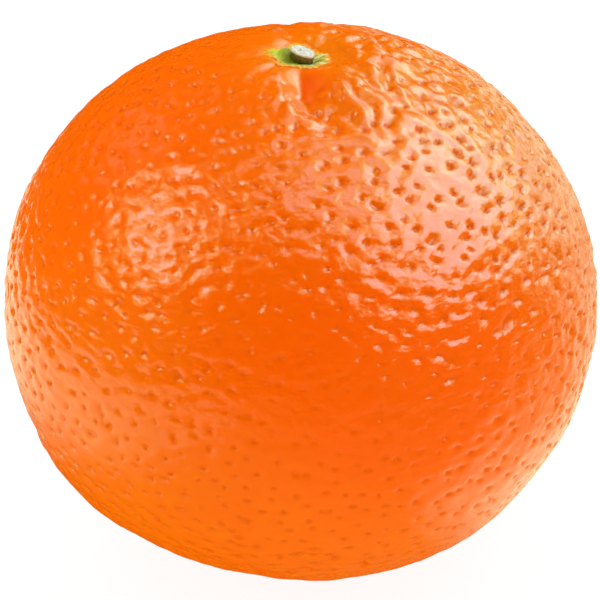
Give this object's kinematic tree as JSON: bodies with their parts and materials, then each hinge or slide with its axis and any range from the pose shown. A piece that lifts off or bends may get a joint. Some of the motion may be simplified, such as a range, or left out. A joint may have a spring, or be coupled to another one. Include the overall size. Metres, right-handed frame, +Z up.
{
  "type": "mandarin orange",
  "caption": "Whole mandarin orange with pitted orange peel, a furrowed stem end, a green star-shaped calyx and a cut stem stub, resting on its flattened underside.",
  "frame": {"origin": "on the surface that the fruit rests on, under the middle of the box round it", "axes": "+Z up along the fruit's own axis, from the blossom scar to the stem; -Y towards the front, the side that the picture shows"},
  "size_m": [0.07, 0.07, 0.065],
  "materials": {
    "peel": "waxy orange peel, softly glossy, pitted by its oil glands",
    "calyx_green": "dull olive to yellow-green skin with pale dry edges",
    "cut_wood": "matt, pale cut face and brown dried bark"
  },
  "bodies": {
    "root": {"fruit": "peel", "calyx": "calyx_green", "stem": "cut_wood"}
  },
  "joints": []
}
